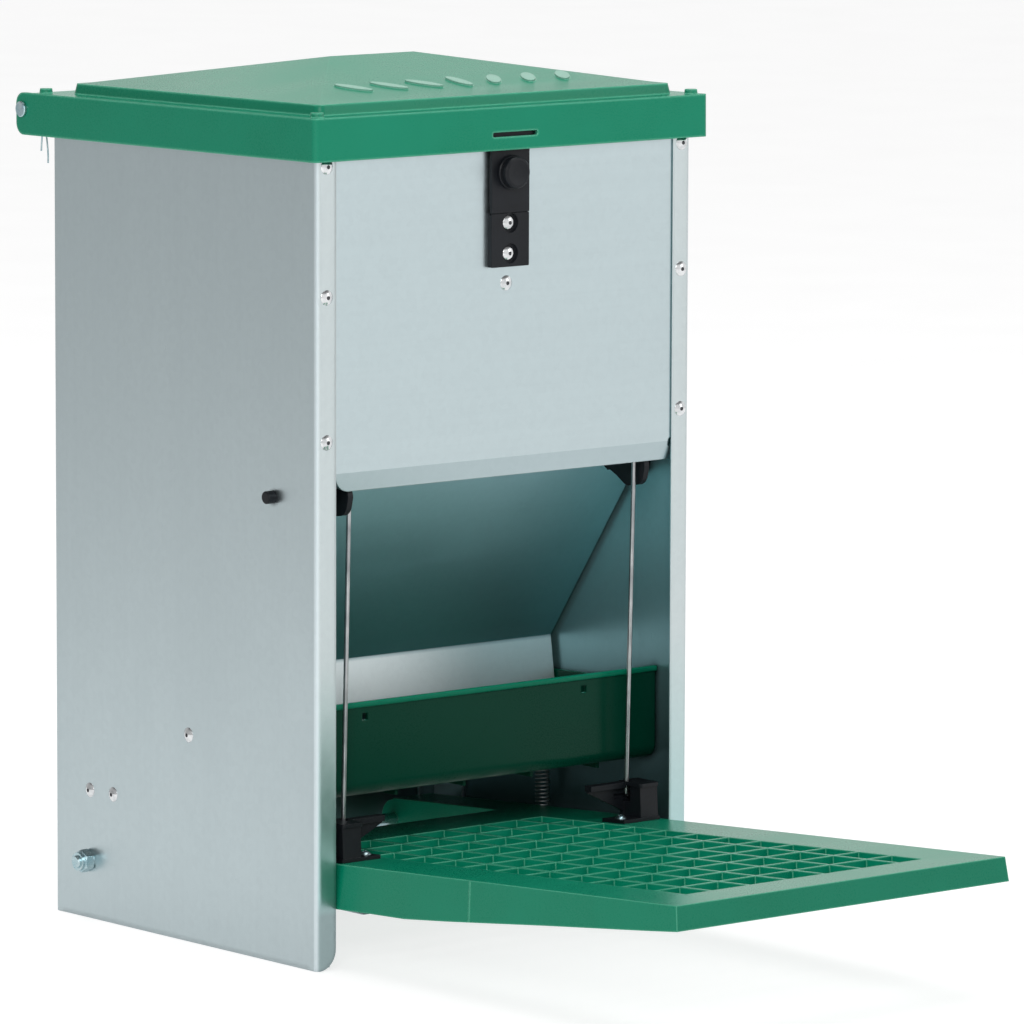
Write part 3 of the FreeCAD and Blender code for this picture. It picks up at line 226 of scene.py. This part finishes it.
def inner_wall_painted_light(m, base, normal):
    """Face towards -X inside the box: a blue-grey tone painting the teal tinge of the light there,
    part diffuse, with painted shade towards the bottom and in its corners.
    """
    inward = m.ramp(m.times(normal[0], -1.0), over=SQUARE_ON)
    # painted shade in the corners, from ambient occlusion, and towards the bottom
    corner_shade = m.grey(m.ramp(m.occlusion(distance=0.0055), over=(0.45, 0.92), to=(0.04, 1.0)))
    height = m.grey(m.ramp(m.split()[2], over=(0.11, 0.24), to=(0.30, 1.0)))
    m.set(Metallic=m.ramp(inward, over=(0.0, 1.0), to=(1.0, 0.73)))
    # blue-grey tone painting the teal tinge of the light inside the box
    color = m.scaled(m.scaled(srgb(165, 212, 219), by=corner_shade), by=height)
    return m.mix(inward, base, color)


def flap_painted_light(m, base, normal):
    """Painted light: brighter higher up and darker further down, with a painted highlight along
    the bottom edge.
    """
    z = m.split()[2]
    # painted shade further down, painted light higher up
    painted_height_light = m.scaled(base, by=m.grey(m.ramp(z, over=(0.168, 0.30), to=(0.62, 1.12))))
    # painted green reflection of the trough and treadle, only where the sheet leans over them
    flap_green_reflection = m.times(m.ramp(z, over=(0.18, 0.29), to=(1.0, 0.15)),
                   m.ramp(normal[2], over=(-0.40, -0.15), to=(1.0, 0.0)))
    painted_height_light = m.mix(flap_green_reflection, painted_height_light, m.scaled(painted_height_light, by=(0.74, 1.14, 1.12, 1)))
    # painted highlight along the bottom edge
    strip_highlight = m.ramp(z, over=(0.1655, 0.1685), to=(1.0, 0.0))
    return m.mix(strip_highlight, painted_height_light, m.scaled(base, by=(2.1, 1.47, 1.37, 1)))


def underside_painted_shade(m, base, normal):
    """Painted shade: darker where the sheet faces downwards."""
    underside_shade = m.ramp(normal[2], over=(-0.10, -0.03), to=(0.55, 0.0))
    return m.mix(underside_shade, base, m.scaled(base, by=(0.70, 0.74, 0.75, 1)))


def shaded_front_tint(m, base, normal):
    """Much darker on faces towards -Y."""
    forward = m.ramp(normal[1], over=(-0.9, -0.5), to=(1.0, 0.0))
    return m.mix(forward, base, m.scaled(base, by=(0.30, 0.36, 0.36, 1)))


def grain_noise(m, axis, across, along, **noise):
    """Noise drawn out along one axis."""
    scale = {"x": (along, across, across), "z": (across, across, along)}[axis]
    return m.noise(scale=1.0, vector=m.stretched(scale), **noise)


def galvanised(name, tone=(190, 203, 206), rough=0.31, grain_axis="z", metal=1.0, fold=0.0009,
               tints=()):
    """Zinc-coated sheet: very fine spangle, faint rolling grain, soft cloudy sheen.

    fold is the rounding radius of the bends; metal is None where a tint sets it.
    """
    m = Material(name)
    spangle = m.cells(scale=260.0)
    fine_spangle = m.cells(scale=640.0)
    cloud = m.noise(scale=7.0, detail=4.0, rough=0.55)
    grain = grain_noise(m, grain_axis, across=420, along=5, rough=0.6)
    long_grain = grain_noise(m, grain_axis, across=60, along=1.6, detail=2.0)
    fine = m.noise(scale=1500.0, detail=2.0, rough=0.6)
    base = srgb(*tone)
    if tints:
        normal = m.split(m.true_normal())
        for tint in tints:
            base = tint(m, base, normal)

    dark = m.scaled(base, by=(0.945, 0.95, 0.955, 1))
    light = m.scaled(base, by=(1.045, 1.045, 1.045, 1))
    color = m.mix(m.ramp(spangle[0], over=(0, 1), to=(0.28, 0.72)), dark, light)
    color = m.mix(m.ramp(fine_spangle[1], over=(0, 1), to=(0.0, 0.25)), color, light)
    for pattern, share, tone_mixed in ((cloud, 0.30, dark), (grain, 0.35, light),
                                       (long_grain, 0.25, dark)):
        color = m.mix(m.ramp(pattern, over=(0.35, 0.7), to=(0.0, share)), color, tone_mixed)

    roughness = m.add(m.ramp(spangle[2], over=(0, 1), to=(rough - 0.015, rough + 0.015)),
                      m.ramp(cloud, to=(-0.02, 0.025)))
    roughness = m.add(roughness, m.ramp(grain, to=(-0.01, 0.02)))
    texture = m.add(m.times(fine, 0.5), m.times(grain, 0.6))
    waves = m.noise(scale=4.0, detail=1.0, rough=0.4)
    surface = m.bump(waves, strength=0.05, distance=0.004, normal=m.bevel(fold))
    surface = m.bump(texture, strength=0.02, distance=0.0002, normal=surface)
    m.set(Base_Color=color, Metallic=metal, Roughness=roughness, Normal=surface,
          Anisotropic=0.2)


# ------------------------------------------------------------------ green plastic
TROUGH_RIM = 0.1557  # height above which the painted shade on the trough's walls weakens, leaving a lighter rim
RIM_BLEND = 0.0003


def pale_tint(m, color):
    return m.mix(0.42, color, srgb(176, 214, 200))


def trough_painted_shade(m, color):
    """Painted shade: dark upright walls, less so above the rim height."""
    upright = m.ramp(m.split(m.true_normal())[2], over=(0.35, 0.85), to=(0.90, 0.0))
    below_rim = m.ramp(m.split()[2], over=(TROUGH_RIM - RIM_BLEND, TROUGH_RIM + RIM_BLEND),
                       to=(1.0, 0.42))
    return m.mix(m.times(upright, below_rim), color, srgb(0, 38, 27))


def treadle_painted_shade(m, color):
    """Painted shade: slightly darker faces square to Y."""
    across = m.math("ABSOLUTE", m.split(m.true_normal())[1])
    return m.mix(m.ramp(across, over=SQUARE_ON), color,
                 m.scaled(color, by=(0.78, 0.78, 0.78, 1)))


def green_plastic(name, edge=0.0017, edge_highlight=0.0, ior=1.31, tint=None):
    """Injection-moulded polypropylene, finely textured, mid green.

    edge is the rounding radius; edge_highlight is how strongly a highlight is painted on the
    rounded edges.
    """
    m = Material(name)
    fine = m.noise(scale=1300.0, detail=2.0, rough=0.55)
    cloud = m.noise(scale=14.0)
    flow = m.noise(scale=1.0, rough=0.55, vector=m.stretched((14, 60, 60)))
    color = m.mix(m.ramp(cloud, to=(0.2, 0.8)), srgb(0, 121, 90), srgb(0, 132, 101))
    color = m.mix(m.ramp(flow, to=(0.0, 0.15)), color, srgb(16, 138, 106))
    color = m.mix(m.ramp(fine, over=(0.35, 0.65), to=(0.0, 0.06)), color, srgb(40, 152, 122))
    if tint:
        color = tint(m, color)
    roughness = m.add(m.ramp(fine, to=(0.26, 0.32)), m.ramp(cloud, to=(-0.02, 0.02)))
    rounded = m.bevel(edge)
    # painted highlight on the rounded edges
    if edge_highlight:
        color = m.mix(m.times(m.edge_mask(rounded), edge_highlight), color, srgb(122, 218, 182))
    surface = m.bump(fine, strength=0.10, distance=0.0002, normal=rounded)
    surface = m.bump(cloud, strength=0.03, distance=0.003, normal=surface)
    m.set(Base_Color=color, Roughness=roughness, Normal=surface, IOR=ior)


# ------------------------------------------------------------------ small parts
def small_part(name, fine_scale, cloud_scale, tones, rough, edge, bump, relief=0.0001,
               cloud_detail=3.0, speck=None, **principled):
    """Cloudy two-tone finish with fine relief; speck is (noise range, share, colour)."""
    m = Material(name)
    fine = m.noise(scale=fine_scale, rough=0.6)
    cloud = m.noise(scale=cloud_scale, detail=cloud_detail)
    color = m.mix(m.ramp(cloud), *tones)
    if speck:
        noise_range, share, speck_color = speck
        color = m.mix(m.ramp(fine, over=noise_range, to=(0, share)), color, speck_color)
    m.set(Base_Color=color, Roughness=m.ramp(fine, to=rough),
          Normal=m.bump(fine, strength=bump, distance=relief, normal=m.bevel(edge)),
          **principled)


def bore_painted_shade():
    """Painted shade deep in a blind rivet's bore, over the broken mandrel."""
    m = Material("bore_painted_shade")
    fine = m.noise(scale=2200.0, detail=2.0, rough=0.6)
    color = m.mix(m.ramp(fine, over=(0.35, 0.65)), srgb(52, 53, 56), srgb(92, 94, 97))
    m.set(Base_Color=color, Metallic=0.6, Roughness=m.ramp(fine, to=(0.45, 0.6)),
          Normal=m.bump(fine, strength=0.2, distance=0.0001))


def steel_wire():
    """Drawn, zinc-plated wire with draw marks along Z."""
    m = Material("steel_wire")
    draw = m.noise(scale=1.0, rough=0.6, vector=m.stretched((2600, 2600, 24)))
    cloud = m.noise(scale=60.0)
    color = m.mix(m.ramp(cloud), srgb(150, 154, 156), srgb(198, 200, 201))
    color = m.mix(m.ramp(draw, over=(0.4, 0.7), to=(0, 0.3)), color, srgb(110, 112, 114))
    m.set(Base_Color=color, Metallic=1.0, Roughness=m.ramp(draw, to=(0.24, 0.4)),
          Normal=m.bump(draw, strength=0.15, distance=0.0001))


# bluer, darker tone for the sheets inside the box: the teal tinge of the light in there, painted
# into the colour
INSIDE_SHEET = dict(tone=(160, 196, 203), rough=0.38, grain_axis="x", metal=0.76)
SIDE_FOLD = 0.0036

galvanised("galvanised_sheet")
galvanised("front_sheet", tone=(195, 209, 212), grain_axis="x", tints=[underside_painted_shade])
galvanised("rear_sheet", tints=[shaded_front_tint])
galvanised("left_sheet", fold=SIDE_FOLD, tints=[flange_painted_light])
galvanised("right_sheet", fold=SIDE_FOLD, metal=None, tints=[flange_painted_light, inner_wall_painted_light])
galvanised("inner_sheet", tints=[flap_painted_light], **INSIDE_SHEET)
galvanised("baffle_sheet", **INSIDE_SHEET)
green_plastic("green_plastic")
# lid, raised motif and treadle: painted highlights on their rounded edges
green_plastic("green_lid", edge=0.0022, edge_highlight=0.85)
green_plastic("green_raised", edge=0.0008, edge_highlight=0.25, tint=pale_tint)
# trough: painted shade on its upright walls
green_plastic("green_painted_shade", ior=1.2, tint=trough_painted_shade)
green_plastic("green_treadle", edge=0.0013, edge_highlight=0.80, tint=treadle_painted_shade)
small_part("black_plastic", fine_scale=1600.0, cloud_scale=40.0,
           tones=(srgb(14, 17, 21), srgb(22, 25, 30)), speck=((0.4, 0.7), 0.2, srgb(44, 48, 54)),
           rough=(0.36, 0.48), edge=0.0006, bump=0.18, relief=0.00018, IOR=1.30)
small_part("rivet_metal", fine_scale=2600.0, cloud_scale=260.0, cloud_detail=2.0,
           tones=(srgb(206, 209, 211), srgb(236, 238, 239)),
           rough=(0.10, 0.18), edge=0.00025, bump=0.12, Metallic=1.0)
bore_painted_shade()
# blue-passivated zinc plating on fasteners
small_part("zinc_steel", fine_scale=2200.0, cloud_scale=190.0,
           tones=(srgb(158, 192, 202), srgb(194, 212, 216)),
           speck=((0.5, 0.75), 0.3, srgb(214, 206, 178)),
           rough=(0.22, 0.36), edge=0.0003, bump=0.12, Metallic=1.0)
steel_wire()


# ------------------------------------------------------------------ visual copies
# The two axes (0 X, 1 Y, 2 Z) square to each rivet's own axis.
RIVET_PLANES = {"front_rivets": (0, 2), "rear_rivets": (0, 2), "side_rivets": (2, 1),
                "latch_rivets": (0, 2)}
BORE_RADIUS = 0.00132  # faces wholly within it are inside the bore

WELD = 1e-6
SHORTEST_EDGE = 1e-7
SHARP_ANGLE = math.radians(28.0)
BEND_ANGLE = math.radians(3.5)
BROAD_FACE = 0.004  # face width from which a shallow bend stays crisp

# Pieces whose material differs from the one their slot names.
SPECIAL = {"feed_flap": "inner_sheet", "hopper_baffle": "baffle_sheet",
           "feed_chute": "baffle_sheet", "front_panel": "front_sheet",
           "left_side_panel": "left_sheet", "right_side_panel": "right_sheet",
           "feed_trough": "green_painted_shade", "treadle": "green_treadle", "lid": "green_lid",
           "rear_panel": "rear_sheet", "base_strap": "rear_sheet"}


def pop_island(faces):
    """Take one connected group out of a set of faces."""
    seed = faces.pop()
    island, stack = [seed], [seed]
    while stack:
        for edge in stack.pop().edges:
            for face in edge.link_faces:
                if face in faces:
                    faces.discard(face)
                    island.append(face)
                    stack.append(face)
    return island


def mark_bores(mesh, plane):
    """Second material, a painted shade, for the faces inside each rivet's centre bore."""
    bm = bmesh.new()
    bm.from_mesh(mesh)
    remaining = set(bm.faces)
    while remaining:
        island = pop_island(remaining)
        points = [vert.co for face in island for vert in face.verts]
        centre = [0.5 * (min(p[axis] for p in points) + max(p[axis] for p in points))
                  for axis in plane]
        for face in island:
            if all(math.hypot(vert.co[plane[0]] - centre[0], vert.co[plane[1]] - centre[1])
                   < BORE_RADIUS for vert in face.verts):
                face.material_index = 1
    bm.to_mesh(mesh)
    bm.free()


def is_sharp(edge):
    if len(edge.link_faces) != 2:
        return True
    angle = edge.calc_face_angle(0.0)
    if angle > SHARP_ANGLE:
        return True
    if angle <= BEND_ANGLE:
        return False
    length = max(edge.calc_length(), 1e-6)
    return min(2.0 * face.calc_area() / length for face in edge.link_faces) > BROAD_FACE


def smooth_shade(mesh):
    """Weld the mesh and shade it smooth between sharp edges."""
    bm = bmesh.new()
    bm.from_mesh(mesh)
    bmesh.ops.remove_doubles(bm, verts=bm.verts, dist=WELD)
    bmesh.ops.dissolve_degenerate(bm, dist=SHORTEST_EDGE, edges=bm.edges)
    for face in bm.faces:
        face.smooth = True
    for edge in bm.edges:
        edge.smooth = not is_sharp(edge)
    bm.to_mesh(mesh)
    bm.free()


def link_object(name, data):
    obj = bpy.data.objects.new(name, data)
    bpy.context.scene.collection.objects.link(obj)
    return obj


def clean_copy(node):
    """A smooth-shaded copy of a CAD node that stands for it."""
    mesh = NODES[node].data.copy()
    mesh.name = "mesh_" + node
    smooth_shade(mesh)
    obj = link_object("v_" + node, mesh)
    mesh.materials.clear()
    mesh.materials.append(MATERIALS[SPECIAL.get(node, SLOT[node])])
    if node in RIVET_PLANES:
        mesh.materials.append(MATERIALS["bore_painted_shade"])
        mark_bores(mesh, RIVET_PLANES[node])
    weighted = obj.modifiers.new("weighted", "WEIGHTED_NORMAL")
    weighted.mode = "FACE_AREA_WITH_ANGLE"
    weighted.keep_sharp = True
    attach(obj, BODY[node])
    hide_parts(node)
    return obj


def mark_raised(mesh):
    """Second material for the faces standing proud of the lid's front slope."""
    slope = max((face for face in mesh.polygons if face.normal.z > 0.9 and face.center.y < -0.02),
                key=lambda face: face.area)
    normal, centre = slope.normal.copy(), slope.center.copy()
    mesh.materials.append(MATERIALS["green_raised"])
    for face in mesh.polygons:
        height = (face.center - centre).dot(normal)
        in_patch = -0.112 < face.center.y < -0.062 and abs(face.center.x) < 0.105
        if in_patch and height > 0.00025:
            # tops at any height, side walls only low down
            if face.normal.dot(normal) > 0.9 or height < 0.001:
                face.material_index = 1


for node in sorted(NODES):
    copy = clean_copy(node)
    if node == "lid":
        mark_raised(copy.data)
    if node == "return_springs":
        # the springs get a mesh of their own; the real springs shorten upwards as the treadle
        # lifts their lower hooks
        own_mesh(copy)


# ------------------------------------------------------------------ floor
def studio_paper():
    """Partly glowing paper, graded across the floor for all but camera rays."""
    m = Material("studio_paper")
    color = m.mix(m.ramp(m.noise(scale=7.0)), srgb(245, 245, 245), srgb(247, 247, 247))
    m.set(Base_Color=color, Roughness=0.75, IOR=1.2)
    rays = m.node("LightPath").outputs
    position = m.split()

    def distance(x, y):
        """Distance along a floor direction."""
        return m.add(m.times(position[0], x), m.times(position[1], y))

    glow = m.ramp(distance(x=-0.64, y=0.77), over=(0.9, 3.2), to=(1.08, 0.70))
    # brighter wedge opening towards -X -Y, seen only in reflections
    ahead = distance(x=-0.77, y=-0.64)
    across = m.math("ABSOLUTE", distance(x=0.64, y=-0.77))
    slope = m.math("DIVIDE", across, m.math("MAXIMUM", ahead, 0.05))
    wedge = m.ramp(slope, over=(0.25, 0.55), to=(1.0, 0.0))
    patch = m.times(m.ramp(ahead, over=(0.5, 1.3), to=(0.0, 0.7)), wedge)
    glow = m.add(glow, m.times(patch, rays["Is Glossy Ray"]))
    seen = rays["Is Camera Ray"]
    seen_glow = 1.34
    strength = m.add(m.times(seen, seen_glow), m.times(m.math("SUBTRACT", 1.0, seen), glow))
    emission = m.node("Emission", Color=color, Strength=strength)
    glow_share = 0.62
    m.mix_shaders(glow_share, m.principled.outputs["BSDF"], emission.outputs[0])
    return m.block


def studio_floor():
    bm = bmesh.new()
    bmesh.ops.create_grid(bm, x_segments=2, y_segments=2, size=14.0)
    mesh = bpy.data.meshes.new("studio_floor")
    bm.to_mesh(mesh)
    bm.free()
    obj = link_object("studio_floor", mesh)
    mesh.materials.append(studio_paper())
    obj.location = (0, 0, -0.0004)  # just under the product


# ------------------------------------------------------------------ world and lights
def studio_world():
    """White to the camera, graded by direction for every other ray."""
    world = bpy.data.worlds.new("studio")
    bpy.context.scene.world = world
    g = Graph(world, "OutputWorld", "Generated")
    vertical = (0.0, 0.0, 1.0)

    def grade(direction, over, to):
        return g.ramp(g.dot(g.coord, direction), over=over, to=to)

    side = grade((0.633, -0.763, 0.0), over=(-1.0, 1.0), to=(0.38, 0.92))
    top = grade(vertical, over=(0.0, 1.0), to=(0.0, 0.15))
    behind = grade((0.633, 0.763, 0.0), over=(0.4, 1.0), to=(0.0, 0.35))
    lobe = grade((-0.741, -0.614, 0.27), over=(0.90, 0.995), to=(0.0, 0.35))
    light = g.add(g.add(g.add(side, top), behind), lobe)
    rays = g.node("LightPath").outputs
    # the ceiling is dim in reflections but not for diffuse rays
    ceiling = grade(vertical, over=(0.42, 0.62), to=(1.0, 0.22))
    diffuse = rays["Is Diffuse Ray"]
    light = g.times(light, g.math("MAXIMUM", ceiling, diffuse))
    light = g.times(light, g.ramp(diffuse, over=(0.0, 1.0), to=(1.0, 0.62)))
    white = (1.0, 1.0, 1.0, 1)
    graded = g.node("Background", Color=white, Strength=light)
    plain = g.node("Background", Color=white, Strength=1.0)
    g.mix_shaders(rays["Is Camera Ray"], graded.outputs[0], plain.outputs[0])


def area_light(name, location, target, size, power):
    light = bpy.data.lights.new(name, "AREA")
    light.shape = "RECTANGLE"
    light.size = size
    light.size_y = size
    light.energy = power
    obj = link_object(name, light)
    obj.location = location
    obj.rotation_mode = "QUATERNION"
    obj.rotation_quaternion = (Vector(target) - Vector(location)).to_track_quat("-Z", "Y")


studio_floor()
studio_world()
area_light("key", location=(-2.7, -3.1, 2.3), target=(0, -0.05, 0.25), size=1.7, power=62)
area_light("fill", location=(2.2, -3.0, 1.5), target=(0, -0.1, 0.25), size=1.6, power=12)
area_light("overhead", location=(0.2, 0.1, 3.2), target=(0, -0.05, 0.25), size=2.4, power=52)


# ------------------------------------------------------------------ camera
AZIMUTH = math.radians(-39.694)  # from -Y, negative towards -X
ELEVATION = math.radians(7.618)
ROLL = math.radians(0.197)
DISTANCE = 5.032022
SHIFT_RIGHT, SHIFT_UP = 0.090903, 0.257051  # of the camera, in its own plane
SENSOR_MM, LENS_MM = 36.0, 275.957754


def add_camera():
    back = Vector((math.sin(AZIMUTH) * math.cos(ELEVATION),
                   -math.cos(AZIMUTH) * math.cos(ELEVATION), math.sin(ELEVATION)))
    forward = -back
    level_right = forward.cross(Vector((0, 0, 1))).normalized()
    level_up = level_right.cross(forward).normalized()
    right = math.cos(ROLL) * level_right + math.sin(ROLL) * level_up
    up = -math.sin(ROLL) * level_right + math.cos(ROLL) * level_up
    location = back * DISTANCE + right * SHIFT_RIGHT + up * SHIFT_UP
    data = bpy.data.cameras.new("camera")
    data.sensor_width = SENSOR_MM
    data.sensor_fit = "HORIZONTAL"
    data.lens = LENS_MM
    data.clip_start = 0.1
    data.clip_end = 100.0
    camera = link_object("camera", data)
    rows = [(right[i], up[i], back[i], location[i]) for i in range(3)]
    camera.matrix_world = Matrix((*rows, (0, 0, 0, 1)))
    bpy.context.scene.camera = camera


add_camera()
bpy.context.scene.view_settings.view_transform = "Standard"
bpy.context.scene.view_settings.look = "None"
